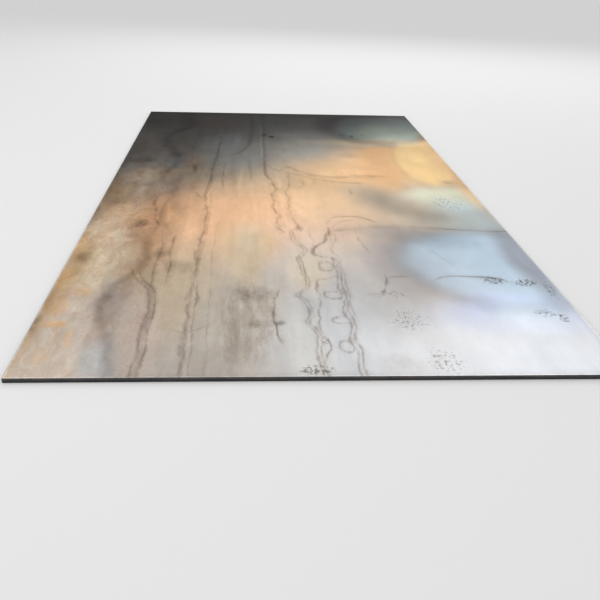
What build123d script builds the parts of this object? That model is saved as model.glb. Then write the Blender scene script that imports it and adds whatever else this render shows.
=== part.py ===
"""Hot-rolled steel plate, one solid of full-size stock, sheared to size.

Units are millimetres. The plate lies flat: X runs across its width, Y along its
length, which is the rolling direction, and Z up through its thickness. The origin
is the centre of the underside. The front end is the one at -Y.

A sheared edge has four zones: the rollover, where the face was drawn down before the
blade bit; the burnished land, which is square and stands furthest out; the fracture,
which leans in towards the burr; and the burr, dressed back to a small flat.
"""
from build123d import *
import os

# sheet size
plate_width = 1500.0
plate_length = 3000.0
plate_thickness = 12.0

# side edges, trimmed with the top face up
side_rollover_depth = 0.8
side_rollover_width = 1.3
side_land_height = 3.8
side_fracture_lean = 0.45
side_burr_flat = 0.3

# front end, cut with the top face up like the sides
front_rollover_depth = 0.9
front_rollover_width = 1.5
front_land_height = 3.4
front_fracture_lean = 0.5
front_burr_flat = 0.35

# back end, cut off in line, so that its rollover is on the underside
back_rollover_depth = 1.0
back_rollover_width = 1.6
back_land_height = 3.2
back_fracture_lean = 0.5
back_burr_flat = 0.35


# Points of one sheared edge, from the rollover's start on its face to the burr's flat
# on the other face. Each is (distance in from the outermost line, depth from the face).
def edge_points(rollover_depth, rollover_width, land_height, fracture_lean, burr_flat):
    land_end = rollover_depth + land_height
    return {
        "face": (rollover_width, 0.0),
        "rollover_end": (0.0, rollover_depth),
        "land_end": (0.0, land_end),
        "burr_start": (fracture_lean, plate_thickness - burr_flat),
        "burr_end": (fracture_lean + burr_flat, plate_thickness),
    }


# Draws one sheared edge in the open line builder. side is +1 or -1, half is the
# distance to the outermost line, and rollover_on_top says which face is drawn down.
def draw_edge(side, half, rollover_on_top, zones):
    points = {}
    for name, (inward, depth) in edge_points(*zones).items():
        height = plate_thickness - depth if rollover_on_top else depth
        points[name] = (side * (half - inward), height)
    inward_along_face = (side, 0)
    Line(points["burr_end"], points["burr_start"])
    Line(points["burr_start"], points["land_end"])
    Line(points["land_end"], points["rollover_end"])
    # the drawn-down face leaves the flat face without a corner
    TangentArc(points["face"], points["rollover_end"], tangent=inward_along_face)
    return points


side_zones = (side_rollover_depth, side_rollover_width, side_land_height,
              side_fracture_lean, side_burr_flat)
front_zones = (front_rollover_depth, front_rollover_width, front_land_height,
               front_fracture_lean, front_burr_flat)
back_zones = (back_rollover_depth, back_rollover_width, back_land_height,
              back_fracture_lean, back_burr_flat)

with BuildPart() as plate:
    # cross-section between the two trimmed sides, run along the rolling direction
    with BuildSketch(Plane.XZ) as cross_section:
        with BuildLine():
            left = draw_edge(-1, plate_width / 2, True, side_zones)
            right = draw_edge(1, plate_width / 2, True, side_zones)
            Line(left["face"], right["face"])
            Line(left["burr_end"], right["burr_end"])
        make_face()
    extrude(amount=plate_length / 2, both=True)

    # lengthwise section between the two sheared ends, kept where both sections agree
    with BuildSketch(Plane.YZ) as long_section:
        with BuildLine():
            front = draw_edge(-1, plate_length / 2, True, front_zones)
            back = draw_edge(1, plate_length / 2, False, back_zones)
            Line(front["face"], back["burr_end"])
            Line(front["burr_end"], back["face"])
        make_face()
    extrude(amount=plate_width / 2, both=True, mode=Mode.INTERSECT)

plate.part.label = "plate"

os.makedirs("parts", exist_ok=True)
export_step(plate.part, "parts/plate.step")
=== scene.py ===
"""Looks of a hot-rolled steel plate: its mill-scale face, sheared edges and studio stage.

Lengths in the tables are millimetres in the plate's own frame: x across its width,
y along its length, with the origin under its middle. Object coordinates are metres.
"""
import math

import bpy
import numpy as np
from bpy.props import FloatProperty, FloatVectorProperty, IntProperty, PointerProperty
from mathutils import Matrix, Vector


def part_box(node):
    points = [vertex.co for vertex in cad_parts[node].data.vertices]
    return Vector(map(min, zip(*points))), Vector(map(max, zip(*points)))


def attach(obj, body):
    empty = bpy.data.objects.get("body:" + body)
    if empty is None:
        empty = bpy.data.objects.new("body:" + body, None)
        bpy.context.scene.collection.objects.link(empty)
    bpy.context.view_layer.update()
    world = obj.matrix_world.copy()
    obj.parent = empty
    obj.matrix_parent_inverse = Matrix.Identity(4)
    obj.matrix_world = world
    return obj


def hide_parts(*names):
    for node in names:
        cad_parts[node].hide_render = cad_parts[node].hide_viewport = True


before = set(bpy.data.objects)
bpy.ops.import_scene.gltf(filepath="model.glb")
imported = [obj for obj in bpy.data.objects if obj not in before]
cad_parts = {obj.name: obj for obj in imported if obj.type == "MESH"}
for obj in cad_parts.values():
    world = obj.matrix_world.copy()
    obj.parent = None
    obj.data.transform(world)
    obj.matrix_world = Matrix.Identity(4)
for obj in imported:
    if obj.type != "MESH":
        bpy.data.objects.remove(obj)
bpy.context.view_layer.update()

bl_info = {
    "name": "Hot-rolled steel plate",
    "version": (1, 0, 0),
    "blender": (4, 5, 0),
    "location": "View3D > Sidebar > Steel Plate",
    "description": "Dresses a packed steel plate with its mill scale, heat tints and sheared edges",
    "category": "Object",
}

MM = 0.001
PLATE_NODE = "plate"
NODE_LOW, NODE_HIGH = (Vector(corner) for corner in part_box(PLATE_NODE))
HALF_WIDTH = (NODE_HIGH.x - NODE_LOW.x) / 2 / MM
HALF_LENGTH = (NODE_HIGH.y - NODE_LOW.y) / 2 / MM
THICKNESS = (NODE_HIGH.z - NODE_LOW.z) / MM


# Node trees

class Value:
    """One number that varies over a surface. Python's operators add Math nodes to its tree."""

    def __init__(self, tree, socket):
        self.tree = tree
        self.socket = socket

    def __add__(self, other):
        return self.tree.math("ADD", self, other)

    def __sub__(self, other):
        return self.tree.math("SUBTRACT", self, other)

    def __rsub__(self, other):
        return self.tree.math("SUBTRACT", other, self)

    def __mul__(self, other):
        return self.tree.math("MULTIPLY", self, other)

    def __truediv__(self, other):
        return self.tree.math("DIVIDE", self, other)

    def __rtruediv__(self, other):
        return self.tree.math("DIVIDE", other, self)

    def __pow__(self, other):
        return self.tree.math("POWER", self, other)

    def __abs__(self):
        return self.tree.math("ABSOLUTE", self)

    __radd__ = __add__
    __rmul__ = __mul__

    def smallest(self, other):
        return self.tree.math("MINIMUM", self, other)

    def largest(self, other):
        return self.tree.math("MAXIMUM", self, other)

    def between(self, low, high):
        return self.largest(low).smallest(high)

    def rises(self, low, high, start=0.0, end=1.0):
        """Start below low, end above high, and an even S between them. low may be above high."""
        if low > high:
            low, high, start, end = high, low, end, start
        return self.tree.value(
            "ShaderNodeMapRange", {"interpolation_type": "SMOOTHSTEP", "clamp": False},
            {"Value": self, "From Min": low, "From Max": high, "To Min": start, "To Max": end})

    def near(self, centre, reach):
        """1 at centre, falling to 0 at a distance of reach."""
        return abs(self - centre).rises(reach, 0.0)


class Tree:
    """A node tree, and the few ways in which this file adds nodes to it."""

    def __init__(self, tree):
        self.tree = tree
        self.tree.nodes.clear()

    def node(self, kind, settings=None, inputs=None):
        """A node of this kind. Its settings come first, then its inputs' values or links."""
        made = self.tree.nodes.new(kind)
        for name, setting in (settings or {}).items():
            if name == "curve":
                self.set_curve(made, setting)
            else:
                setattr(made, name, setting)
        for name, source in (inputs or {}).items():
            socket = made.inputs[name]
            source = getattr(source, "socket", source)
            if isinstance(source, bpy.types.NodeSocket):
                self.tree.links.new(source, socket)
            else:
                socket.default_value = source
        return made

    @staticmethod
    def set_curve(made, points):
        """A Float Curve's points, each (place, height), both from 0 to 1."""
        curve = made.mapping.curves[0]
        while len(curve.points) < len(points):
            curve.points.new(0.5, 0.5)
        for point, (place, height) in zip(curve.points, points):
            point.location = (place, height)
        made.mapping.update()

    def value(self, kind, settings=None, inputs=None, output=0):
        return Value(self, self.node(kind, settings, inputs).outputs[output])

    def math(self, operation, *terms):
        return self.value("ShaderNodeMath", {"operation": operation}, dict(enumerate(terms)))

    def vector(self, operation, *terms, output=0, **named):
        inputs = dict(enumerate(terms))
        inputs.update(named)
        return self.node("ShaderNodeVectorMath", {"operation": operation}, inputs).outputs[output]

    def split(self, place):
        parts = self.node("ShaderNodeSeparateXYZ", None, {0: place}).outputs
        return tuple(Value(self, part) for part in parts)

    def joined(self, x, y, z):
        return self.node("ShaderNodeCombineXYZ", None, {0: x, 1: y, 2: z}).outputs[0]

    def noise(self, place, size, stretch=(1, 1, 1), detail=2.0, roughness=0.5, output=0, seed=None):
        """Noise whose features are about size millimetres, longer along an axis whose stretch is more."""
        scaled = self.vector("MULTIPLY", place, tuple(1 / (size * longer) for longer in stretch))
        inputs = {"Vector": scaled, "Scale": 1.0, "Detail": detail, "Roughness": roughness}
        dimensions = "3D"
        if seed is not None:
            inputs["W"] = seed
            dimensions = "4D"
        return self.value("ShaderNodeTexNoise", {"noise_dimensions": dimensions}, inputs, output)


class Shape(Tree):
    """A Geometry Nodes tree with named inputs, which can be another tree's group."""

    def __init__(self, name, inputs, outputs):
        group = bpy.data.node_groups.new(name, "GeometryNodeTree")
        super().__init__(group)
        self.identifiers = {}
        for way, sockets in (("INPUT", inputs), ("OUTPUT", outputs)):
            for socket, (kind, default) in sockets.items():
                made = group.interface.new_socket(socket, in_out=way, socket_type=kind)
                if default is not None:
                    made.default_value = default
                self.identifiers[socket] = made.identifier
        self.start = self.node("NodeGroupInput")

    def given(self, name):
        return Value(self, self.start.outputs[name])

    def group(self, other, inputs):
        """Another tree as a group node, and its first output."""
        return self.value("GeometryNodeGroup", {"node_tree": other.tree}, inputs)


class SurfaceTree(Tree):
    """What a material's tree and the parts of one have in common."""

    def mix(self, factor, a, b):
        """Colour a, turned into b by factor."""
        made = self.node("ShaderNodeMix", {"data_type": "RGBA", "clamp_factor": True})
        for place, source in ((0, factor), (6, a), (7, b)):
            source = getattr(source, "socket", source)
            if isinstance(source, bpy.types.NodeSocket):
                self.tree.links.new(source, made.inputs[place])
            elif place:
                made.inputs[place].default_value = (*source, 1)
            else:
                made.inputs[place].default_value = source
        return made.outputs[2]

    def shaken(self, place, size, x, y, detail=3.0, roughness=0.5):
        """The same place, shaken by noise, so that what is drawn on it has an uneven outline."""
        drift = self.noise(place, size, detail=detail, roughness=roughness, output=1)
        drift = self.vector("SUBTRACT", drift, (0.5, 0.5, 0.5))
        return self.vector("ADD", place, self.vector("MULTIPLY", drift, (x, y, 0)))

    def oval(self, place, centre, halves, turn=0.0, label=""):
        """Distance from centre, 1 on the rim of an oval with these half sizes."""
        cos, sin = math.cos(math.radians(turn)), math.sin(math.radians(turn))
        group = bpy.data.node_groups.get(OVAL_GROUP) or oval_group()
        inputs = {"Place": place, "Centre": (*centre, 0),
                  "Along": (cos / halves[0], sin / halves[0], 0),
                  "Across": (-sin / halves[1], cos / halves[1], 0)}
        return self.value("ShaderNodeGroup", {"node_tree": group, "label": label}, inputs)


class Part(SurfaceTree):
    """A part of a material as a group, from a place on the surface to a few named results."""

    def __init__(self, name, **results):
        group = bpy.data.node_groups.new(name, "ShaderNodeTree")
        super().__init__(group)
        group.interface.new_socket("Place", in_out="INPUT", socket_type="NodeSocketVector")
        for result, kind in results.items():
            group.interface.new_socket(result, in_out="OUTPUT", socket_type="NodeSocket" + kind)
        self.place = self.node("NodeGroupInput").outputs["Place"]

    def give(self, **results):
        self.node("NodeGroupOutput", None, results)
        return self


class Shader(SurfaceTree):
    """A material's node tree."""

    def __init__(self, name):
        self.material = bpy.data.materials.new(name)
        self.material.use_nodes = True
        super().__init__(self.material.node_tree)

    def place(self):
        """Where a point of the surface lies, in millimetres."""
        coords = self.node("ShaderNodeTexCoord").outputs["Object"]
        return self.vector("MULTIPLY", coords, (1 / MM, 1 / MM, 1 / MM))

    def part(self, part, place):
        """A part's results at this place: a Value for each number, a socket for a colour."""
        outputs = self.node("ShaderNodeGroup", {"node_tree": part.tree}, {"Place": place}).outputs
        return [Value(self, out) if out.type == "VALUE" else out for out in outputs]

    def finish(self, **inputs):
        """A Principled surface with these inputs, as the material's output."""
        named = {}
        for name, source in inputs.items():
            named[name.replace("_", " ").title().replace("Ior", "IOR")] = source
        surface = self.node("ShaderNodeBsdfPrincipled", None, named)
        self.node("ShaderNodeOutputMaterial", None, {"Surface": surface.outputs[0]})
        return self.material


OVAL_GROUP = "oval distance"


def oval_group():
    """A group that measures how far a place is from an oval's middle, its rim being at 1."""
    group = bpy.data.node_groups.new(OVAL_GROUP, "ShaderNodeTree")
    for name in ("Place", "Centre", "Along", "Across"):
        group.interface.new_socket(name, in_out="INPUT", socket_type="NodeSocketVector")
    group.interface.new_socket("Distance", in_out="OUTPUT", socket_type="NodeSocketFloat")
    tree = Tree(group)
    given = tree.node("NodeGroupInput").outputs
    offset = tree.vector("SUBTRACT", given["Place"], given["Centre"])
    along = tree.vector("DOT_PRODUCT", offset, given["Along"], output=1)
    across = tree.vector("DOT_PRODUCT", offset, given["Across"], output=1)
    tree.node("NodeGroupOutput", None, {0: tree.vector("LENGTH", tree.joined(along, across, 0), output=1)})
    return group


def linear(*rgb):
    """A colour written as it shows on a screen, 0 to 255, as the shader's linear colour."""
    return tuple(c / 255 / 12.92 if c <= 10 else ((c / 255 + 0.055) / 1.055) ** 2.4 for c in rgb)


def chroma(*rgb):
    """The same colour's tint alone, at a brightness of 1."""
    red, green, blue = linear(*rgb)
    light = 0.2126 * red + 0.7152 * green + 0.0722 * blue
    return red / light, green / light, blue / light


# The scale's colours

NEUTRAL = chroma(122, 121, 118)
RUST = chroma(150, 108, 84)
BROWN = chroma(150, 122, 100)
AMBER = chroma(225, 172, 110)
EDGE_TINT = chroma(202, 200, 201)
COOL_SCALE = chroma(214, 219, 222)
WARM_SCALE = chroma(222, 216, 208)
SPECULAR_TINT = (0.4, 0.4, 0.4, 1)  # keeps the steel's highlights dull
BEARERS = (-1100, 0, 1100)  # mm along the plate where its underside lay on timber
BEARER_REACH = 75  # mm to each side of a bearer's middle that it rubbed
SIDE_RUST, END_RUST = 160, 200  # mm in from the sides and ends where the underside rusts

# Painted reflection: the scale's brightness along a slanted line, dark at the far end and bright at
# the near right, as (mm of y less x times the slant, brightness)
PAINTED_REFLECTION_SLANT = 0.95
PAINTED_REFLECTION_ALONG = [
    (-2200, 0.42), (-1400, 0.45), (-200, 0.46), (200, 0.43), (500, 0.24), (800, 0.14),
    (1100, 0.065), (1500, 0.04), (2200, 0.015),
]

# Where the scale is thinner or thicker, and so of another tint. Each has its name, its tint,
# how much brighter it is, its centre, half sizes, turn in degrees and softness, and how dark
# and how wide (as a share of its size) its rim is. How much brighter a zone is holds the
# scale's own tone and, in part, painted reflection.
ZONES = [
    ("warm body",        (190, 171, 145), 0.70, (-100, -820), (590, 1220), 10, 0.6, 0, 0),
    ("far grey",         (100, 99, 95), 1.25, (-170, 700), (320, 420), -20, 0.3, 0, 0),
    ("peach heart",      (226, 184, 147), 1.45, (-210, -360), (440, 360), -35, 0.7, 0, 0),
    ("deep peach",       (200, 158, 121), 0.65, (-510, -230), (90, 580), -4, 0.8, 0, 0),
    ("brown side",       (150, 128, 103), 1.20, (-680, -80), (110, 350), 0, 0.5, 0, 0),
    ("cream",            (228, 192, 151), 1.35, (270, 250), (290, 540), -25, 0.9, 0, 0),
    ("orange",           (240, 196, 148), 0.90, (450, 440), (130, 440), -5, 0.5, 0, 0),
    ("far pale",         (205, 220, 217), 1.25, (690, 1370), (110, 230), 0, 0.6, 0, 0),
    ("straw",            (250, 216, 161), 1.25, (650, 510), (140, 490), -5, 0.3, 0.1, 0.2),
    ("teal",             (110, 118, 116), 0.75, (540, 1170), (300, 360), -10, 0.2, 0.3, 0.3),
    ("sage",             (150, 159, 147), 1.60, (540, 1040), (160, 190), 0, 0.7, 0, 0),
    ("brown lip",        (130, 120, 104), 1.35, (430, 830), (260, 70), 0, 0.7, 0, 0),
    ("dark halo",        (60, 58, 57), 0.70, (250, 1240), (80, 260), -10, 0.6, 0, 0),
    ("mint",             (222, 221, 198), 1.30, (620, -130), (210, 150), 25, 0.4, 0, 0),
    ("pale blue side",   (196, 206, 205), 0.95, (630, -340), (130, 190), 0, 0.5, 0, 0),
    ("violet band",      (165, 153, 137), 0.65, (400, -190), (90, 230), 35, 0.9, 0, 0),
    ("slate band",       (165, 157, 149), 0.75, (430, -550), (170, 80), -15, 0.7, 0, 0),
    ("mauve",            (178, 163, 155), 0.80, (300, -790), (100, 250), 0, 0.6, 0, 0),
    ("blue",             (188, 205, 219), 1.15, (600, -810), (290, 320), 25, 0.2, 0.15, 0.25),
    ("blue shade",       (160, 166, 176), 0.60, (720, -760), (50, 290), 0, 0.7, 0, 0),
    ("lavender",         (178, 189, 225), 1.00, (530, -1190), (220, 130), 0, 0.6, 0, 0),
    ("periwinkle",       (186, 202, 220), 1.10, (610, -1180), (110, 100), 0, 0.6, 0, 0),
    # painted highlight: the white zone is a reflection's pale glare at the near right, painted as pale scale
    ("white",            (240, 243, 248), 1.60, (530, -1450), (420, 270), 5, 0.8, 0, 0),
    ("near grey",        (198, 199, 201), 1.20, (80, -1340), (330, 680), 0, 0.9, 0, 0),
    ("olive",            (172, 165, 154), 0.95, (-220, -1190), (100, 270), -20, 0.6, 0, 0),
    ("dark side",        (70, 68, 65), 1.45, (-700, 610), (170, 670), 15, 0.4, 0, 0),
    ("slate strip",      (88, 90, 90), 0.85, (-510, 370), (40, 200), -5, 0.6, 0, 0),
    ("pale left oval",   (192, 178, 155), 1.50, (-680, -770), (120, 310), 0, 0.4, 0, 0),
    ("near cool",        (220, 211, 201), 1.00, (-400, -1490), (230, 170), 0, 0.7, 0, 0),
    ("near left oval",   (180, 169, 156), 1.35, (-680, -1410), (160, 370), 5, 0.2, 0.1, 0.2),
    ("near slate strip", (165, 167, 167), 0.90, (-550, -1410), (40, 150), 5, 0.6, 0, 0),
    ("amber",            (225, 190, 144), 0.70, (-750, -1040), (50, 470), -5, 0.7, 0, 0),
    ("mauve side",       (205, 190, 179), 1.15, (-470, -1270), (50, 250), 5, 0.6, 0, 0),
    ("grey wedge",       (220, 215, 203), 1.10, (60, 690), (150, 190), 0, 0.6, 0, 0),
    ("right side",       (220, 186, 142), 0.95, (750, 380), (60, 560), 0, 0.6, 0, 0),
    ("violet stripe",    (212, 213, 213), 1.30, (-290, 790), (80, 190), -10, 0.6, 0, 0),
    ("pale middle",      (218, 217, 213), 1.15, (-40, -1330), (60, 210), 5, 0.6, 0, 0),
    ("far rim",          (220, 214, 206), 0.80, (-50, 1520), (750, 110), -5, 0.6, 0, 0),
    ("far plum",         (220, 199, 189), 0.90, (-390, 1330), (150, 290), 0, 0.7, 0, 0),
    ("left lift",        (220, 203, 178), 1.20, (-550, 190), (220, 110), 5, 0.6, 0, 0),
    ("far left lift",    (216, 220, 213), 1.15, (-600, 860), (120, 160), 0, 0.6, 0, 0),
    ("near pink",        (220, 204, 192), 0.90, (-570, -1150), (60, 200), 0, 0.6, 0, 0),
    ("sand",             (220, 191, 156), 0.95, (-190, -610), (90, 160), 0, 0.6, 0, 0),
    ("bright middle",    (220, 208, 190), 1.10, (0, -850), (60, 160), 0, 0.6, 0, 0),
    ("dull middle",      (220, 200, 173), 0.95, (-190, -720), (50, 230), 0, 0.6, 0, 0),
]

# Lines that water left as it ran along the plate. Each has its half width, the half gap
# between its two dark sides, its strength, and its points as (y, x), far end first.
RUNS = [
    (4.2, 0.0, 0.25, [
        (900, -322), (700, -326), (560, -329), (450, -335), (300, -341), (100, -344), (-50, -351),
        (-150, -354), (-250, -341), (-400, -338), (-500, -341), (-700, -346), (-850, -345), (-950, -346),
        (-1060, -352), (-1200, -348), (-1300, -350), (-1400, -348), (-1500, -344),
    ]),
    (4.2, 0.0, 0.25, [
        (430, -108), (330, -112), (250, -110), (150, -98), (50, -75), (0, -68), (-60, -85), (-120, -88),
        (-200, -84), (-250, -92), (-300, -80), (-340, -70), (-400, -80), (-480, -74), (-520, -60),
    ]),
    (3.6, 0.0, 0.18, [
        (240, -5), (150, -10), (50, -15), (0, -22), (-60, -30), (-130, -26), (-220, -30), (-300, -24),
        (-380, -18), (-440, -8), (-520, 5),
    ]),
    (2.6, 5.0, 0.22, [
        (-500, -28), (-560, -30), (-620, -20), (-660, -5), (-690, 4), (-720, -5), (-760, -22),
        (-830, -15), (-880, -16), (-950, -4), (-1000, -12), (-1020, -32), (-1045, -38), (-1080, -22),
        (-1130, -14), (-1180, -10), (-1220, -24), (-1250, -12), (-1300, -2), (-1400, -6), (-1500, -2),
    ]),
    (2.0, 0.0, 0.25, [
        (-930, 30), (-960, 22), (-1000, 17), (-1050, 22), (-1100, 18), (-1150, 8), (-1200, 11),
        (-1280, 6), (-1340, 24), (-1370, 25), (-1400, 9), (-1500, 5),
    ]),
    (5.0, 0.0, 0.31, [
        (-480, 104), (-520, 96), (-560, 84), (-600, 78), (-630, 60), (-660, 42), (-690, 30), (-715, 32),
        (-740, 42), (-752, 64), (-760, 84), (-790, 96),
    ]),
    (2.6, 6.0, 0.23, [
        (-700, 29), (-730, 40), (-745, 62), (-757, 84), (-780, 94), (-830, 93), (-870, 95), (-900, 97),
        (-950, 91), (-1000, 90), (-1040, 105), (-1060, 106), (-1100, 93), (-1160, 88), (-1200, 95),
        (-1240, 98), (-1290, 88), (-1340, 88), (-1380, 95), (-1440, 90), (-1500, 89),
    ]),
    (1.6, 0.0, 0.16, [
        (-540, 118), (-600, 112), (-640, 102), (-690, 93), (-740, 104), (-765, 114), (-810, 108),
        (-900, 112), (-1000, 108), (-1050, 122), (-1110, 106), (-1200, 110),
    ]),
    (1.6, 0.0, 0.18, [(-490, 28), (-560, 30), (-600, 38), (-650, 30)]),
    (2.8, 0.0, 0.31, [(-910, 240), (-960, 234), (-1000, 223), (-1038, 205)]),
    (2.2, 9.0, 0.24, [
        (-860, -535), (-920, -512), (-980, -482), (-1040, -462), (-1100, -452), (-1150, -450),
        (-1250, -455), (-1350, -450), (-1500, -456),
    ]),
    (2.0, 0.0, 0.22, [(-560, -432), (-700, -436), (-850, -428), (-960, -430)]),
    (2.4, 0.0, 0.22, [(-600, -472), (-700, -470), (-850, -474), (-1000, -466)]),
    (3.0, 0.0, 0.26, [(-110, -548), (-200, -543), (-300, -528), (-380, -522), (-450, -500)]),
    (2.0, 0.0, 0.20, [(380, -288), (300, -292), (100, -290), (-20, -286)]),
    (2.0, 4.0, 0.20, [(60, -412), (-10, -405), (-80, -390), (-130, -366)]),
    (1.8, 0.0, 0.16, [
        (600, -312), (300, -326), (0, -334), (-250, -328), (-500, -329), (-800, -338), (-1100, -333),
        (-1300, -331), (-1500, -326),
    ]),
    (1.6, 0.0, 0.22, [(-690, -362), (-740, -358), (-800, -352), (-850, -346)]),
    (1.5, 0.0, 0.12, [(-430, -290), (-700, -300), (-1000, -296), (-1300, -290), (-1500, -288)]),
    (2.4, 0.0, 0.30, [
        (-1000, -96), (-1040, -102), (-1080, -110), (-1180, -116), (-1260, -110), (-1330, -98),
    ]),
    (2.6, 0.0, 0.16, [(160, 45), (100, 48), (50, 42), (10, 30)]),
    (2.2, 0.0, 0.14, [(150, 90), (110, 96), (70, 92)]),
    (1.6, 0.0, 0.18, [(-480, 200), (-560, 196), (-640, 204), (-700, 212)]),
]

# Lines that water left as it ran across, with points as (x, y), left side first.
BRANCHES = [
    (4.5, 9.0, 0.21, [
        (-112, 440), (-95, 370), (-75, 310), (-50, 268), (-30, 300), (-10, 335), (10, 320), (30, 275),
        (60, 240), (100, 200), (150, 178), (250, 182), (350, 196), (420, 204),
    ]),
    (7.0, 0.0, 0.19, [
        (-5, 228), (20, 215), (50, 200), (80, 170), (110, 145), (150, 118), (200, 100), (300, 95),
    ]),
    (5.2, 0.0, 0.26, [
        (95, -480), (100, -420), (115, -385), (150, -352), (200, -345), (240, -360), (265, -390),
        (290, -430),
    ]),
    (4.0, 0.0, 0.22, [(112, -490), (125, -440), (150, -405), (190, -388)]),
    (13.0, 0.0, 0.18, [(120, -500), (190, -478), (260, -464), (330, -456), (430, -458), (520, -470)]),
    (4.0, 0.0, 0.24, [(490, -470), (560, -478), (620, -484), (750, -496)]),
    (3.6, 0.0, 0.37, [
        (385, -935), (410, -915), (440, -905), (500, -903), (550, -908), (590, -925), (625, -955),
    ]),
    (2.4, 0.0, 0.22, [(28, -932), (60, -925), (85, -908), (96, -890)]),
    (2.8, 0.0, 0.30, [(236, -915), (255, -908), (300, -902)]),
    (2.8, 0.0, 0.30, [(172, -1041), (205, -1037)]),
    (2.4, 0.0, 0.17, [(-375, -1262), (-350, -1275), (-320, -1262), (-300, -1240), (-285, -1222)]),
    (3.0, 0.0, 0.34, [(428, -690), (440, -715), (450, -750), (458, -775)]),
]

# Rings where drops joined a run: (half width, half gap, strength, centre, half sizes)
RINGS = [
    (2.6, 0.0, 0.21, (62, -1045), (27, 27)),
    (2.6, 0.0, 0.21, (70, -1208), (24, 22)),
    (2.6, 0.0, 0.21, (66, -1352), (18, 32)),
    (2.4, 0.0, 0.16, (60, -830), (22, 42)),
]

# Wide soft bands along the plate: (half width, strength, points as (y, x)). A strength
# below 0 is a paler band.
BANDS = [
    (52, 0.34, [
        (1500, -530), (1350, -515), (1250, -490), (1150, -478), (1080, -505), (1000, -555), (900, -588),
        (800, -592), (700, -575), (620, -545), (540, -522), (480, -515),
    ]),
    (58, 0.27, [(1500, -560), (1300, -538), (1150, -522), (1020, -560)]),
    (26, -0.13, [(900, -392), (800, -398), (640, -404)]),
    (30, 0.22, [(560, -520), (450, -505), (350, -510), (250, -530), (150, -548), (50, -545)]),
    (20, 0.24, [
        (1500, -166), (1200, -163), (980, -165), (850, -172), (750, -180), (650, -200), (600, -215),
        (550, -245), (520, -275),
    ]),
    (15, 0.24, [
        (1500, -97), (1250, -101), (1050, -101), (850, -105), (700, -105), (560, -104), (440, -109),
        (330, -110), (150, -99),
    ]),
    (13, 0.20, [(640, -327), (560, -329), (450, -335), (300, -341), (100, -344), (-50, -351)]),
    (6, -0.40, [(1180, -116), (1000, -114), (850, -118), (700, -119), (600, -117), (500, -121)]),
    (12, 0.18, [(1150, -304), (1050, -300), (950, -302)]),
    (12, 0.14, [(1080, -440), (900, -438), (750, -446), (600, -452)]),
    (26, -0.14, [(960, -235), (800, -240), (650, -262), (560, -268)]),
    (22, 0.12, [(480, -250), (300, -252), (150, -246), (40, -240)]),
    (16, -0.10, [(420, -205), (250, -212), (100, -222), (0, -222)]),
    (14, 0.15, [(420, -178), (250, -174), (120, -170)]),
    (15, 0.26, [(360, -432), (300, -420), (240, -414), (200, -424)]),
    (20, 0.16, [(200, -470), (50, -478), (-80, -486), (-200, -492)]),
    (12, 0.18, [(-180, -500), (-300, -505), (-400, -500), (-520, -512)]),
    (10, -0.14, [(-200, -488), (-320, -478), (-430, -474)]),
    (28, 0.20, [
        (-560, -530), (-680, -512), (-800, -512), (-900, -535), (-980, -575), (-1080, -590),
        (-1200, -580), (-1300, -552), (-1400, -528), (-1500, -518),
    ]),
    (24, 0.15, [(-470, -600), (-560, -565), (-680, -516), (-800, -508), (-890, -515)]),
    (22, 0.25, [(-940, -500), (-1000, -470), (-1060, -458), (-1120, -450), (-1180, -452), (-1250, -455)]),
    (20, 0.20, [(-1180, -452), (-1250, -455), (-1350, -450), (-1500, -455)]),
    (30, 0.08, [(-500, -150), (-700, -165), (-900, -170)]),
    (22, -0.08, [(-60, -58), (-150, -50), (-260, -52), (-400, -50), (-480, -40)]),
    (16, -0.10, [(300, -60), (150, -58), (20, -50)]),
]

# Small blotches: (strength, centre, half sizes)
BLOTCHES = [
    (0.72, (-100, 955), (16, 26)), (0.70, (-64, 914), (18, 24)), (0.62, (362, 948), (15, 26)),
    (0.30, (312, 985), (12, 34)), (0.28, (425, 985), (11, 34)), (0.34, (-465, -720), (30, 46)),
    (0.16, (-395, -830), (42, 60)), (0.42, (-562, -440), (30, 40)), (0.30, (-420, 290), (14, 50)),
    (0.30, (-705, -760), (30, 50)), (0.25, (-660, 420), (60, 50)), (0.27, (-170, -1040), (62, 55)),
    (0.12, (-226, -1260), (17, 250)), (0.10, (-186, -1220), (15, 220)), (0.36, (-95, -1222), (16, 18)),
    (0.22, (-150, -1225), (42, 28)), (0.18, (-590, -1060), (20, 40)), (0.25, (235, -40), (8, 30)),
    (0.30, (-330, -1070), (8, 42)), (0.25, (-745, -1230), (18, 60)), (0.24, (-5, -480), (16, 34)),
    (0.22, (680, 120), (30, 32)), (0.12, (-430, -820), (26, 70)),
    (0.12, (-250, -1430), (110, 90)), (0.12, (190, -1450), (60, 60)), (0.12, (-650, -150), (95, 85)),
    (0.10, (-715, -350), (50, 70)), (0.12, (-650, 1250), (90, 150)), (0.09, (-600, 735), (50, 75)),
    (0.12, (300, 545), (60, 60)), (0.09, (505, 780), (50, 85)),
]

# Places where the scale is paler: (strength, centre, half sizes)
PALER = [
    (0.10, (-370, 780), (95, 170)), (0.12, (-400, 1350), (60, 80)), (0.10, (-700, 850), (60, 150)),
    (0.14, (0, 955), (90, 70)), (0.08, (300, 750), (70, 60)), (0.09, (250, 250), (130, 70)),
    (0.09, (-310, 290), (130, 80)), (0.08, (605, 800), (90, 95)), (0.06, (400, -350), (70, 55)),
    (0.06, (-500, -1060), (30, 80)),
]

# Rusty spots: (strength, centre, half sizes)
RUST_SPOTS = [
    (0.40, (-690, -1228), (34, 26)), (0.30, (-700, -1130), (20, 50)), (0.22, (-738, -640), (22, 130)),
    (0.20, (-730, -880), (22, 60)), (0.28, (-640, -1300), (12, 60)), (0.25, (-655, -1020), (30, 40)),
    (0.30, (-485, -255), (14, 40)), (0.25, (-500, -420), (16, 30)), (0.20, (-690, -1400), (24, 50)),
]

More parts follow.
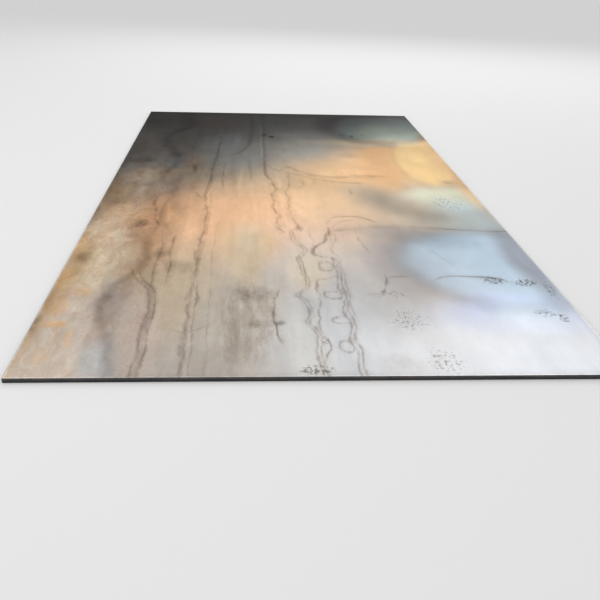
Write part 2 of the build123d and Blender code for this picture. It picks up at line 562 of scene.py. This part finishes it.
# Clusters of dried specks: (strength, centre, half sizes)
SPECKS = [
    (0.66, (572, -935), (56, 50)), (0.68, (665, -955), (54, 40)), (0.55, (650, -1165), (60, 30)),
    (0.70, (690, -1190), (20, 42)), (0.45, (300, -1430), (72, 95)), (0.44, (255, -1205), (78, 100)),
    (0.66, (-22, -1468), (62, 38)), (0.55, (14, -1322), (24, 26)), (0.58, (722, -1010), (22, 90)),
    (0.46, (610, -180), (105, 130)), (0.48, (245, -1040), (50, 32)),
]

MARK_FADE = 35.0  # mm to each side of a run's end over which it fades
LINE_SPREAD = 2.8  # how many half widths a line's soft sides reach
DIRT_SPREAD = 9  # how many half widths the dirt beside a line reaches
SPOT_CORE = 0.3  # share of a spot's size over which it is at full strength
SPOT_RIM = 1.35  # share of its size where it has faded out


def scale_colour():
    """The scale's brightness, with its painted reflection, and its tint, before its marks."""
    sh = Part("scale colour", Light="Float", Tint="Color")
    bent = sh.shaken(sh.place, 300, 50, 120)
    x, y, _ = sh.split(bent)
    low, high = PAINTED_REFLECTION_ALONG[0][0], PAINTED_REFLECTION_ALONG[-1][0]
    stops = [((at - low) / (high - low), light) for at, light in PAINTED_REFLECTION_ALONG]
    along = (y - x * PAINTED_REFLECTION_SLANT - low) / (high - low)
    # painted reflection: the scale is darker towards the far end and the left, brighter towards the near
    # right
    light = sh.value("ShaderNodeFloatCurve", {"curve": stops}, {"Value": along})
    tint = NEUTRAL
    for name, colour, factor, centre, halves, turn, soft, rim, rim_width in ZONES:
        off = sh.oval(bent, centre, halves, turn, name)
        inside = off.rises(1 + soft, 1 - soft)
        tint = sh.mix(inside, tint, chroma(*colour))
        light = light * off.rises(1 + soft, 1 - soft, 1.0, factor)
        if rim:
            light = light * (1 - off.near(1.0, rim_width) * rim)
    return sh.give(Light=light, Tint=tint)


def follow(sh, along, across, points, half_along, half_across):
    """How far a place lies to the side of a line, in mm, and 1 where the line runs."""
    spots = sorted(((at + half_along) / (2 * half_along), (side + half_across) / (2 * half_across))
                   for at, side in points)
    line = sh.value("ShaderNodeFloatCurve", {"curve": spots},
                    {"Value": (along + half_along) / (2 * half_along)})
    off = abs(across - (line * (2 * half_across) - half_across))
    start, end = min(at for at, _ in points), max(at for at, _ in points)
    runs = 1
    if start > -half_along:
        runs = along.rises(start - MARK_FADE, start + MARK_FADE)
    if end < half_along:
        runs = along.rises(end + MARK_FADE, end - MARK_FADE) * runs
    return off, runs


def water_lines():
    """Darkness of the lines that water left, the wash between their sides and the dirt beside them."""
    sh = Part("water lines", Lines="Float", Wash="Float", Dirt="Float")
    place = sh.place
    bent = sh.shaken(place, 90, 20, 34, roughness=0.6)
    wavy = sh.shaken(bent, 19, 9, 16, detail=2.0)
    x, y, _ = sh.split(wavy)
    smooth_x, smooth_y, _ = sh.split(sh.shaken(place, 120, 18, 26, detail=1.0))
    narrower = sh.noise(place, 38, stretch=(1, 1.6, 1), detail=2.0).rises(0.3, 0.7, 0.65, 1.5)
    wash, dirt = 0, 0  # dirt lies in streaks beside the runs and in soft patches beside the branches

    def line(so_far, off, runs, width, gap, strength):
        nonlocal wash, dirt
        core = abs(off - gap) if gap else off
        core = (core * narrower).rises(width * LINE_SPREAD, 0.0)
        if gap:
            wash = (off.rises(gap, gap * 0.3) * runs).largest(wash)
        beside = off.rises(gap + width * DIRT_SPREAD, gap * 0.5)
        dirt = (beside * runs * strength).largest(dirt)
        return (core * runs * strength).largest(so_far)

    along, across = 0, 0
    for width, gap, strength, points in RUNS:
        off, runs = follow(sh, y, x, points, HALF_LENGTH, HALF_WIDTH)
        along = line(along, off, runs, width, gap, strength)
    for width, gap, strength, centre, halves in RINGS:
        off = abs(sh.oval(wavy, centre, halves) - 1) * min(halves)
        along = line(along, off, 1.0, width, gap, strength)
    dirt_along, dirt = dirt, 0
    for width, gap, strength, points in BRANCHES:
        off, runs = follow(sh, smooth_x, smooth_y, points, HALF_WIDTH, HALF_LENGTH)
        across = line(across, off, runs, width, gap, strength)
    uneven = sh.noise(place, 16, stretch=(1, 5, 1), detail=4.0, roughness=0.6)
    uneven_across = sh.noise(place, 50, stretch=(2, 2, 1), detail=2.0, roughness=0.5)
    lines = along * uneven.rises(0.28, 0.66, 0.35, 1.25)
    lines = lines.largest(across * uneven_across.rises(0.28, 0.66, 0.35, 1.25))
    dirt = (dirt_along * uneven.rises(0.38, 0.65)).largest(dirt * uneven_across.rises(0.3, 0.7, 0.2, 0.7))
    return sh.give(Lines=lines, Wash=wash, Dirt=dirt)


def spot(sh, place, centre, halves, rim=SPOT_RIM):
    """1 in the middle of an oval spot, falling to 0 at the rim, a share of its size."""
    return sh.oval(place, centre, halves).rises(rim, SPOT_CORE)


def soft_marks():
    """How much brightness the scale keeps under bands, blotches and specks, and the rust spots."""
    sh = Part("soft marks", Kept="Float", Rust="Float")
    place = sh.place
    rough = sh.shaken(place, 60, 30, 50, detail=4.0, roughness=0.6)
    x, y, _ = sh.split(rough)
    keep = 1
    for width, strength, points in BANDS:
        off, runs = follow(sh, y, x, points, HALF_LENGTH, HALF_WIDTH)
        keep = (1 - off.rises(width, 0.0) * runs * strength) * keep
    ragged = sh.noise(place, 26, stretch=(1, 2, 1), detail=6.0, roughness=0.72)
    ragged = ragged.rises(0.32, 0.62, 0.45, 1.35)
    for strength, centre, halves in BLOTCHES:
        keep = (1 - spot(sh, rough, centre, halves) * ragged * strength) * keep
    for strength, centre, halves in PALER:
        keep = (1 + spot(sh, rough, centre, halves) * ragged * strength) * keep
    grains = sh.noise(place, 9, stretch=(1, 1.6, 1), detail=4.0, roughness=0.75)
    specks = 0
    for strength, centre, halves in SPECKS:
        specks = (spot(sh, rough, centre, halves, 1.2) * strength).largest(specks)
    rust = 0
    for strength, centre, halves in RUST_SPOTS:
        rust = (spot(sh, rough, centre, halves, 1.3) * strength).largest(rust)
    rust = rust * ragged * 1.1
    specks = specks * (grains + specks * 0.22).rises(0.61, 0.69)
    return sh.give(Kept=keep * (1 - specks), Rust=rust)


def grain(finish):
    """Streaks of the rolling direction, cloudy scale, and the stains of the side where water stood."""
    sh = Part("grain", Light="Float", Stains="Float", Washed="Float", Mottle="Float")
    place = sh.place
    x, y, _ = sh.split(place)
    broad = sh.noise(place, 46, stretch=(1, 12, 1), detail=5.0, roughness=0.6)
    cloud = sh.noise(place, 150, stretch=(1, 2, 1), detail=6.0, roughness=0.62)
    mottle = sh.noise(place, 30, stretch=(1, 2.6, 1), detail=6.0, roughness=0.7)
    stained = x.rises(-300, -560) * y.rises(-1350, -500, 0.45, 1.0)
    middle = x.rises(250, -50)
    streaks = broad.rises(0.3, 0.7, -0.5, 0.5) * (middle * 0.10 + 0.02) * finish.streaks
    uneven = mottle.rises(0.3, 0.7, -0.5, 0.5)
    light = (1 + streaks) * cloud.rises(0.25, 0.75, 0.93, 1.09)
    light = light * (1 + uneven * (stained * 0.12 + middle * 0.07 + 0.02))
    swirled = sh.shaken(place, 110, 80, 170, detail=2.0)
    blots = sh.noise(swirled, 80, stretch=(1, 2.4, 1), detail=6.0, roughness=0.68)
    pools = blots.rises(0.42, 0.66)
    marbled = sh.noise(swirled, 44, stretch=(1, 2.8, 1), detail=6.0, roughness=0.66)
    dark_veins, pale_veins = marbled.rises(0.50, 0.60), marbled.rises(0.46, 0.34)
    light = light * (1 - pools * (stained * 0.16 + 0.03)) * (1 + stained * 0.12)
    light = light * (1 - dark_veins * stained * 0.13) * (1 + pale_veins * stained * 0.06)
    tide = blots.near(0.44, 0.02).largest(blots.near(0.57, 0.016))
    tide = tide * mottle.rises(0.40, 0.60) * x.rises(-150, -460) * y.rises(700, 200)
    light = light * (1 - tide * 0.16)
    drips = sh.noise(place, 20, stretch=(1, 5, 1), detail=6.0, roughness=0.7).rises(0.42, 0.58)
    dripped = sh.oval(sh.shaken(place, 60, 40, 90), (-185, -1200), (85, 250)).rises(1.3, 0.7)
    light = light * (1 - drips * dripped * 0.19)
    washed = blots.rises(0.50, 0.36) * x.rises(-480, -620) * y.rises(150, -250)
    light = light * (1 + washed * 0.05)
    stains = (pools + dark_veins) * stained + tide + drips * dripped * 0.3
    return sh.give(Light=light, Stains=stains, Washed=washed, Mottle=mottle)


def painted_rim_highlight(sh, place):
    """Painted highlight along the plate's edges, where the rollover catches light, with a chipped inner
    outline.
    """
    x, y, _ = sh.split(place)
    inwards = (HALF_WIDTH - abs(x)).smallest(HALF_LENGTH - abs(y))
    chipped = sh.noise(place, 24, detail=4.0, roughness=0.7)
    return (inwards - chipped * 9).rises(1.5, -2.5)


def scale_face_material(finish):
    """The rolled face: its scale's colours with their painted reflection, the marks on them and the painted
    highlight along its rim.
    """
    sh = Shader("mill_scale_face")
    place = sh.vector("MULTIPLY", sh.place(), (1, 1, 0))
    light, tint = sh.part(scale_colour(), place)
    lines, wash, dirt = sh.part(water_lines(), place)
    marks, rust = sh.part(soft_marks(), place)
    texture, stains, washed, mottle = sh.part(grain(finish), place)
    rim = painted_rim_highlight(sh, place)
    deposit = lines * finish.lines
    light = light * texture * marks * (1 + wash * 0.04) * (1 - dirt * 0.5)
    # rim: painted highlight along the edges, brightening the scale
    light = light * (1 - deposit) * (1 + rim * 0.45)
    tint = sh.mix(washed * 0.3, tint, NEUTRAL)
    tint = sh.mix(stains * 0.3, tint, BROWN)
    tint = sh.mix(deposit * 0.55 + (1 - marks) * 0.2, tint, BROWN)
    tint = sh.mix(rust, tint, AMBER)
    # the painted rim highlight turns the scale grey
    tint = sh.mix(rim * 0.5, tint, NEUTRAL)
    tint = sh.mix(finish.tints, NEUTRAL, tint)
    rough = mottle * 0.10 + (finish.roughness - 0.05) + deposit * 0.2
    grit = sh.noise(place, 3.0, detail=2.0, roughness=0.6)
    ripple = sh.noise(place, 240, stretch=(3, 1, 1), detail=1.0)
    height = grit * 0.02 + mottle * 0.04 + ripple * 1.2
    bump = sh.node("ShaderNodeBump", None, {"Strength": 0.6, "Distance": MM, "Height": height})
    return sh.finish(base_color=sh.vector("SCALE", tint, Scale=light), metallic=0.92, roughness=rough,
                     specular_tint=SPECULAR_TINT, specular_ior_level=0.3, normal=bump.outputs[0])


ROLLOVER_END = 1.0  # mm below the face where the rollover has ended
LAND_END = 4.5  # mm below the face where the land turns into the fracture
BURR_START = THICKNESS - 0.5  # mm below the face where the burr starts


def sheared_edge_material(finish):
    """A shear's cut: bright rollover, burnished land with upright streaks, grey torn fracture, burr."""
    sh = Shader("sheared_edge")
    place = sh.place()
    cut = sh.node("ShaderNodeAttribute", {"attribute_name": CUT_DEPTH})
    depth = Value(sh, cut.outputs["Fac"])
    upright = sh.noise(place, 1.6, stretch=(1, 1, 40), detail=3.0, roughness=0.7)
    torn = sh.noise(place, 1.1, stretch=(2, 2, 1), detail=4.0, roughness=0.7)
    patch = sh.noise(place, 60, stretch=(1, 1, 0.2), detail=3.0)
    fracture = depth.rises(LAND_END - 0.2, LAND_END + 0.2)
    rollover = depth.rises(ROLLOVER_END, ROLLOVER_END - 0.3)
    burr = depth.rises(BURR_START, BURR_START + 0.3)
    light = 1 + rollover * 0.35 - fracture * 0.28 + burr * 0.5
    streaked, pitted = upright.rises(0.3, 0.7, 0.75, 1.2), torn.rises(0.3, 0.7, 0.6, 1.3)
    light = light * (streaked * (1 - fracture) + pitted * fracture)
    light = light * patch.rises(0.3, 0.7, 0.85, 1.15)
    colour = sh.mix(patch.rises(0.5, 0.72) * torn.rises(0.35, 0.6) * 0.55, EDGE_TINT, RUST)
    relief = torn * fracture + upright * (1 - fracture) * 0.25
    bump = sh.node("ShaderNodeBump", None, {"Strength": 0.5, "Distance": 0.12 * MM, "Height": relief})
    # painted shade: the cut edges' colour is darkened to the shade that falls on them
    colour = sh.vector("SCALE", colour, Scale=light * finish.edge_shaded_light)
    return sh.finish(base_color=colour, metallic=0.8, roughness=fracture * 0.22 + 0.38,
                     normal=bump.outputs[0], specular_tint=SPECULAR_TINT)


def underside_material(finish):
    """The other face: thicker scale, dulled by lying on bearers, with a little rust by the edges."""
    sh = Shader("mill_scale_underside")
    place = sh.vector("MULTIPLY", sh.place(), (1, 1, 0))
    x, y, _ = sh.split(place)
    streak = sh.noise(place, 18, stretch=(1, 40, 1), detail=4.0, roughness=0.65)
    cloud = sh.noise(place, 160, stretch=(1, 2, 1), detail=5.0, roughness=0.6)
    light = streak.rises(0.25, 0.75, 0.86, 1.14) * cloud.rises(0.25, 0.75, 0.75, 1.25)
    scuff = sh.noise(place, 5, stretch=(30, 1, 1), detail=2.0).rises(0.62, 0.7)
    bearer = 0
    for at in BEARERS:
        bearer = y.near(at, BEARER_REACH).rises(0.0, 0.4).largest(bearer)
    light = light * (1 + scuff * 0.18) * (1 + bearer * 0.16)
    by_side = abs(x).rises(HALF_WIDTH - SIDE_RUST, HALF_WIDTH)
    by_end = abs(y).rises(HALF_LENGTH - END_RUST, HALF_LENGTH)
    spots = sh.noise(place, 40, detail=6.0, roughness=0.7)
    rust = (spots + by_side.largest(by_end) * 0.16).rises(0.60, 0.72)
    colour = sh.mix(cloud.rises(0.35, 0.65), COOL_SCALE, WARM_SCALE)
    colour = sh.mix(rust * 0.7, colour, RUST)
    colour = sh.vector("SCALE", colour, Scale=light * finish.underside_light)
    return sh.finish(base_color=colour, metallic=0.8, roughness=rust * 0.25 + 0.45,
                     specular_tint=SPECULAR_TINT)


# The plate's surface

FACE, UNDERSIDE, EDGE = range(3)
ZONE = "zone"
CUT_DEPTH = "cut_depth"
FINE_STEP = 6.0  # mm between the upright lines round the edges
COARSE_STEP = 30.0  # mm between the lines across the flat faces
EDGE_STEPS = 14  # even steps down the edge, of which the first two and last two are split finer
BACK_BAND = 2.0  # mm in from the back end that belongs to its cut
SMOOTH_BELOW = 28  # degrees between two facets, past which the edge between them stays sharp
CUTS = ("Side", "Front", "Back")
CUT_SIZES = ("Rollover Depth", "Rollover Width", "Land Height", "Fracture Lean", "Burr Flat")


def edge_levels():
    """Heights of the rings round the plate, top first, close together where the cut curves."""
    close = [0.0, 0.06, 0.2, 0.4, 0.65, 0.95]
    middle = [THICKNESS * step / EDGE_STEPS for step in range(2, EDGE_STEPS - 1)]
    return [THICKNESS - depth for depth in close] + middle[::-1] + close[::-1]


def blank_mesh():
    """The plate before its edges are shaped: a closed box, fine round its edges and coarse elsewhere."""
    xs = np.linspace(-HALF_WIDTH, HALF_WIDTH, int(round(2 * HALF_WIDTH / FINE_STEP)) + 1)
    ys = np.linspace(-HALF_LENGTH, HALF_LENGTH, int(round(2 * HALF_LENGTH / FINE_STEP)) + 1)
    skip = int(round(COARSE_STEP / FINE_STEP))
    last_x, last_y = len(xs) - 1, len(ys) - 1
    walk = ([(i, 0) for i in range(last_x)] + [(last_x, j) for j in range(last_y)]
            + [(i, last_y) for i in range(last_x, 0, -1)] + [(0, j) for j in range(last_y, 0, -1)])
    levels = edge_levels()
    verts, faces, zones = [], [], []
    for z in levels:
        verts += [(xs[i], ys[j], z) for i, j in walk]
    count = len(walk)
    for ring in range(len(levels) - 1):
        upper, lower = ring * count, (ring + 1) * count
        for k in range(count):
            after = (k + 1) % count
            faces.append((upper + k, lower + k, lower + after, upper + after))
            zones.append(EDGE)
    at_edge = {spot: k for k, spot in enumerate(walk)}
    for zone, ring in ((FACE, 0), (UNDERSIDE, len(levels) - 1)):
        inner = {}
        for i in range(skip, last_x, skip):
            for j in range(skip, last_y, skip):
                inner[i, j] = len(verts)
                verts.append((xs[i], ys[j], levels[ring]))
        for i in range(0, last_x, skip):
            for j in range(0, last_y, skip):
                round_cell = ([(i + n, j) for n in range(skip)]
                              + [(i + skip, j + n) for n in range(skip)]
                              + [(i + skip - n, j + skip) for n in range(skip)]
                              + [(i, j + skip - n) for n in range(skip)])
                corners = []
                for spot in round_cell:
                    if spot in at_edge:
                        corners.append(ring * count + at_edge[spot])
                    elif spot in inner:
                        corners.append(inner[spot])
                faces.append(corners if zone == FACE else corners[::-1])
                zones.append(zone)
    mesh = bpy.data.meshes.new("blank")
    mesh.from_pydata([tuple(c * MM for c in v) for v in verts], [], faces)
    mesh.attributes.new(ZONE, "INT", "FACE").data.foreach_set("value", zones)
    return mesh


def sheared_profile_shape():
    """How far in from the outermost line a cut lies, by the depth below the face that the blade met."""
    distance = ("NodeSocketFloat", 0.0)
    names = ("Depth", "Thickness", *CUT_SIZES, "Waver", "Tear")
    shape = Shape("sheared profile", {name: distance for name in names}, {"Inward": distance})
    depth, thickness, waver = shape.given("Depth"), shape.given("Thickness"), shape.given("Waver")
    drop, width = shape.given("Rollover Depth"), shape.given("Rollover Width")
    flat = shape.given("Burr Flat")
    radius = (width * width + drop * drop) / (drop * 2)
    above = depth.smallest(drop)
    rollover = width - (above * radius * 2 - above * above).largest(0.0) ** 0.5
    land_end = drop + shape.given("Land Height") + waver
    torn = ((depth - land_end) / (thickness - flat - land_end)).between(0.0, 1.0)
    fracture = torn * shape.given("Fracture Lean") + torn.rises(0.0, 0.15) * shape.given("Tear")
    burr = (depth - (thickness - flat)).largest(0.0)
    shape.node("NodeGroupOutput", None, {"Inward": rollover + fracture + burr})
    return shape


def sheared_plate_shape():
    """Draws the blank's edges in to the cuts' profiles, tears the fractures and sets the finishes."""
    distance = ("NodeSocketFloat", 0.0)
    inputs = {"Geometry": ("NodeSocketGeometry", None)}
    for name in ("Half Width", "Half Length", "Thickness"):
        inputs[name] = distance
    for cut in CUTS:
        for name in CUT_SIZES:
            inputs[f"{cut} {name}"] = distance
    inputs["Waver"] = inputs["Tear"] = distance
    inputs["Seed"] = ("NodeSocketInt", 0)
    for name in ("Face Finish", "Underside Finish", "Edge Finish"):
        inputs[name] = ("NodeSocketMaterial", None)
    shape = Shape("sheared plate", inputs, {"Geometry": ("NodeSocketGeometry", None)})
    profile = sheared_profile_shape()

    position = shape.node("GeometryNodeInputPosition").outputs[0]
    place = shape.vector("MULTIPLY", position, (1 / MM, 1 / MM, 1 / MM))
    x, y, z = shape.split(place)
    seed = shape.given("Seed")
    wander = shape.noise(place, 30, stretch=(1, 1, 100), detail=3.0, seed=seed)
    waver = (wander - 0.5) * 2 * shape.given("Waver")
    pits = shape.noise(place, 9, stretch=(1, 1, 0.12), detail=2.0, seed=seed)
    tear = pits.rises(0.3, 0.7) * shape.given("Tear")
    thickness = shape.given("Thickness")
    from_top = (thickness - z).largest(0.0)
    inward = {}
    for cut, depth in (("Side", from_top), ("Front", from_top), ("Back", z)):
        values = {"Depth": depth, "Thickness": thickness, "Waver": waver, "Tear": tear}
        for name in CUT_SIZES:
            values[name] = shape.given(f"{cut} {name}")
        inward[cut] = shape.group(profile, values)
    half_width, half_length = shape.given("Half Width"), shape.given("Half Length")
    new_x = x.between(inward["Side"] - half_width, half_width - inward["Side"])
    new_y = y.between(inward["Front"] - half_length, half_length - inward["Back"])
    moved = shape.vector("MULTIPLY", shape.joined(new_x, new_y, z), (MM, MM, MM))

    at_back = shape.math("GREATER_THAN", y, half_length - BACK_BAND)
    cut_depth = from_top + at_back * (z - from_top) - waver
    stored = shape.node("GeometryNodeStoreNamedAttribute", {"data_type": "FLOAT", "domain": "POINT"},
                        {"Geometry": shape.start.outputs["Geometry"], "Name": CUT_DEPTH, "Value": cut_depth})
    drawn = shape.node("GeometryNodeSetPosition", None, {"Geometry": stored.outputs[0], "Position": moved})

    zone = shape.node("GeometryNodeInputNamedAttribute", {"data_type": "INT"}, {"Name": ZONE}).outputs[0]

    def zone_is(wanted):
        settings = {"data_type": "INT", "operation": "EQUAL"}
        return shape.node("FunctionNodeCompare", settings, {2: zone, 3: wanted}).outputs[0]

    smooth = shape.node("GeometryNodeSetShadeSmooth", {"domain": "FACE"},
                        {"Geometry": drawn.outputs[0], "Shade Smooth": zone_is(EDGE)})
    done = shape.node("GeometryNodeRealizeInstances", None, {"Geometry": smooth.outputs[0]})
    for part, name in ((FACE, "Face Finish"), (UNDERSIDE, "Underside Finish"), (EDGE, "Edge Finish")):
        done = shape.node("GeometryNodeSetMaterial", None,
                          {"Geometry": done.outputs[0], "Selection": zone_is(part),
                           "Material": shape.start.outputs[name]})
    shape.node("NodeGroupOutput", None, {"Geometry": done.outputs[0]})
    return shape


def shaped_plate(context, inputs):
    """The blank put through the plate's tree, as a plain mesh."""
    blank = bpy.data.objects.new("blank", blank_mesh())
    context.scene.collection.objects.link(blank)
    shape = sheared_plate_shape()
    modifier = blank.modifiers.new("sheared plate", "NODES")
    modifier.node_group = shape.tree
    for name, value in inputs.items():
        modifier[shape.identifiers[name]] = value
    evaluated = blank.evaluated_get(context.evaluated_depsgraph_get())
    mesh = bpy.data.meshes.new_from_object(evaluated)
    mesh.name = "plate_surface"
    bpy.data.objects.remove(blank)
    mesh.set_sharp_from_angle(angle=math.radians(SMOOTH_BELOW))
    if not mesh.polygons or mesh.validate():
        raise RuntimeError("the plate's tree made no sound surface")
    return mesh


def length(name, text, default):
    """A property for a length in millimetres."""
    return FloatProperty(name=name, description=text + ", in millimetres", default=default,
                         min=0.0, max=THICKNESS / 2)


class PlateSettings(bpy.types.PropertyGroup):
    """The cuts round the plate."""
    side_rollover_depth: length("Side rollover depth", "How far the sides' faces are drawn down", 0.8)
    side_rollover_width: length("Side rollover width", "How far in the sides' rollover starts", 1.3)
    side_land_height: length("Side land height", "Height of the sides' burnished land", 3.8)
    side_fracture_lean: length("Side fracture lean", "How far the sides' fracture leans in", 0.45)
    side_burr_flat: length("Side burr flat", "Flat where the sides' burr was dressed", 0.3)
    front_rollover_depth: length("Front rollover depth", "How far the front's face is drawn down", 0.9)
    front_rollover_width: length("Front rollover width", "How far in the front's rollover starts", 1.5)
    front_land_height: length("Front land height", "Height of the front's burnished land", 3.4)
    front_fracture_lean: length("Front fracture lean", "How far the front's fracture leans in", 0.5)
    front_burr_flat: length("Front burr flat", "Flat where the front's burr was dressed", 0.35)
    back_rollover_depth: length("Back rollover depth", "How far the back's underside is drawn in", 1.0)
    back_rollover_width: length("Back rollover width", "How far in the back's rollover starts", 1.6)
    back_land_height: length("Back land height", "Height of the back's burnished land", 3.2)
    back_fracture_lean: length("Back fracture lean", "How far the back's fracture leans in", 0.5)
    back_burr_flat: length("Back burr flat", "Flat where the back's burr was dressed", 0.35)
    waver: length("Waver", "How far the land's lower line wanders", 0.5)
    tear: length("Tear", "How deep the fracture is torn", 0.16)
    seed: IntProperty(name="Seed", description="Chooses the pattern of the torn fracture", default=7, min=0)


class FinishSettings(bpy.types.PropertyGroup):
    """The scale's and the edges' looks."""
    tints: FloatProperty(name="Heat tints", description="Strength of the scale's coloured tints",
                         default=1.0, min=0.0, max=1.0, subtype="FACTOR")
    lines: FloatProperty(name="Water lines", description="Strength of the lines that water left",
                         default=1.0, min=0.0, max=1.5, subtype="FACTOR")
    streaks: FloatProperty(name="Rolling streaks", description="Strength of the streaks along the plate",
                           default=1.0, min=0.0, max=2.0, subtype="FACTOR")
    roughness: FloatProperty(name="Roughness", description="How dull the scale is", default=0.38,
                             min=0.1, max=1.0, subtype="FACTOR")
    # painted shade: keeps the cut edges' colour as dark as the shade that falls on them
    edge_shaded_light: FloatProperty(name="Edge brightness", description="How bright the cut edges are",
                              default=0.085, min=0.0, max=1.0, subtype="FACTOR")
    underside_light: FloatProperty(name="Underside brightness",
                                   description="How bright the underside's scale is",
                                   default=0.13, min=0.0, max=1.0, subtype="FACTOR")


class StageSettings(bpy.types.PropertyGroup):
    """The floor, the lights and the camera."""
    floor_colour: FloatVectorProperty(name="Floor colour", description="Colour of the studio floor", size=3,
                                      default=(0.72, 0.72, 0.72), min=0.0, max=1.0, subtype="COLOR")
    world_strength: FloatProperty(name="World strength", description="Strength of the light from all round",
                                  default=0.85, min=0.0)
    key_power: FloatProperty(name="Key power", description="Power of the softbox in front", default=50.0,
                             min=0.0, unit="POWER")
    back_power: FloatProperty(name="Back power", description="Power of the panel behind", default=62.0,
                              min=0.0, unit="POWER")
    lens: FloatProperty(name="Lens", description="Focal length of the camera", default=45.63, unit="CAMERA")
    camera_place: FloatVectorProperty(name="Camera place", description="Where the camera stands",
                                      default=(-0.187, -3.0371, 0.9395), subtype="TRANSLATION", unit="LENGTH")
    camera_turn: FloatVectorProperty(name="Camera turn", description="Yaw to the right, pitch down and roll",
                                     default=(math.radians(4.373), math.radians(25.26), math.radians(1.912)),
                                     subtype="EULER", unit="ROTATION")


class STEELPLATE_OT_plate(bpy.types.Operator):
    """Makes the plate's surface and gives it its finishes"""
    bl_idname = "steelplate.plate"
    bl_label = "Make the plate"

    def execute(self, context):
        sizes, finish = context.scene.steelplate_plate, context.scene.steelplate_finish
        inputs = {"Half Width": HALF_WIDTH, "Half Length": HALF_LENGTH, "Thickness": THICKNESS,
                  "Waver": sizes.waver, "Tear": sizes.tear, "Seed": sizes.seed,
                  "Face Finish": scale_face_material(finish),
                  "Underside Finish": underside_material(finish),
                  "Edge Finish": sheared_edge_material(finish)}
        for cut in CUTS:
            for name in CUT_SIZES:
                setting = f"{cut} {name}".lower().replace(" ", "_")
                inputs[f"{cut} {name}"] = getattr(sizes, setting)
        plate = bpy.data.objects.new("plate_surface", shaped_plate(context, inputs))
        context.scene.collection.objects.link(plate)
        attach(plate, "root")
        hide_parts(PLATE_NODE)
        return {"FINISHED"}


# The stage, in metres
FLOOR_REACH = 30.0  # from the middle to each side of the floor
KEY_SOFTBOX = {"place": (-2.2, -1.5, 4.0), "aim": (0, 0, 0), "size": (3.0, 3.0)}
BACK_PANEL = {"place": (1.4, 4.5, 3.0), "aim": (0.3, -0.3, 0), "size": (5.6, 1.6)}


def area_light(context, name, power, place, aim, size):
    """A rectangular lamp that faces the aimed point."""
    data = bpy.data.lights.new(name, "AREA")
    data.shape = "RECTANGLE"
    data.size, data.size_y = size
    data.energy = power
    lamp = bpy.data.objects.new(name, data)
    lamp.location = place
    lamp.rotation_euler = (Vector(aim) - Vector(place)).to_track_quat("-Z", "Y").to_euler()
    context.scene.collection.objects.link(lamp)


def studio_floor(context, colour):
    """A wide pale floor, level with the plate's underside."""
    mesh = bpy.data.meshes.new("floor")
    corners = [(x * FLOOR_REACH, y * FLOOR_REACH, 0) for x, y in ((-1, -1), (1, -1), (1, 1), (-1, 1))]
    mesh.from_pydata(corners, [], [(0, 1, 2, 3)])
    sh = Shader("pale_floor")
    mesh.materials.append(sh.finish(base_color=(*colour, 1), roughness=0.8))
    floor = bpy.data.objects.new("floor", mesh)
    context.scene.collection.objects.link(floor)


def studio_world(context, strength):
    """Even white light from all round."""
    world = bpy.data.worlds.new("studio")
    world.use_nodes = True
    background = world.node_tree.nodes["Background"]
    background.inputs["Color"].default_value = (1.0, 1.0, 1.0, 1.0)
    background.inputs["Strength"].default_value = strength
    context.scene.world = world


def place_camera(context, place, turn, lens):
    """A camera turned to the right by a yaw, down by a pitch and about its own view by a roll."""
    yaw, pitch, roll = turn
    forward = Vector((math.sin(yaw) * math.cos(pitch), math.cos(yaw) * math.cos(pitch), -math.sin(pitch)))
    right = Vector((math.cos(yaw), -math.sin(yaw), 0))
    up = right.cross(forward)
    rolled_right = math.cos(roll) * right + math.sin(roll) * up
    rolled_up = math.cos(roll) * up - math.sin(roll) * right
    data = bpy.data.cameras.new("camera")
    data.lens = lens
    camera = bpy.data.objects.new("camera", data)
    camera.location = place
    camera.rotation_euler = Matrix((rolled_right, rolled_up, -forward)).transposed().to_euler()
    context.scene.collection.objects.link(camera)
    context.scene.camera = camera


class STEELPLATE_OT_stage(bpy.types.Operator):
    """Makes the floor, the lights, the world and the camera"""
    bl_idname = "steelplate.stage"
    bl_label = "Make the stage"

    def execute(self, context):
        settings = context.scene.steelplate_stage
        studio_floor(context, settings.floor_colour)
        studio_world(context, settings.world_strength)
        area_light(context, "key_softbox", settings.key_power, **KEY_SOFTBOX)
        area_light(context, "back_panel", settings.back_power, **BACK_PANEL)
        place_camera(context, settings.camera_place, settings.camera_turn, settings.lens)
        context.scene.view_settings.view_transform = "Standard"
        return {"FINISHED"}


class STEELPLATE_PT_panel(bpy.types.Panel):
    """Lists the plate's sizes, its finishes and the stage, with the buttons that make the plate and the stage
    """
    bl_label = "Steel Plate"
    bl_idname = "STEELPLATE_PT_panel"
    bl_space_type = "VIEW_3D"
    bl_region_type = "UI"
    bl_category = "Steel Plate"

    def draw(self, context):
        scene = context.scene
        groups = ((scene.steelplate_plate, None), (scene.steelplate_finish, STEELPLATE_OT_plate),
                  (scene.steelplate_stage, STEELPLATE_OT_stage))
        for settings, operator in groups:
            box = self.layout.box()
            for name in settings.__annotations__:
                box.prop(settings, name)
            if operator:
                box.operator(operator.bl_idname)


CLASSES = (PlateSettings, FinishSettings, StageSettings, STEELPLATE_OT_plate, STEELPLATE_OT_stage,
           STEELPLATE_PT_panel)


def register():
    for made in CLASSES:
        bpy.utils.register_class(made)
    bpy.types.Scene.steelplate_plate = PointerProperty(type=PlateSettings)
    bpy.types.Scene.steelplate_finish = PointerProperty(type=FinishSettings)
    bpy.types.Scene.steelplate_stage = PointerProperty(type=StageSettings)


def unregister():
    for name in ("steelplate_plate", "steelplate_finish", "steelplate_stage"):
        delattr(bpy.types.Scene, name)
    for made in reversed(CLASSES):
        bpy.utils.unregister_class(made)


def main():
    register()
    bpy.ops.steelplate.plate()
    bpy.ops.steelplate.stage()


if __name__ == "__main__":
    main()
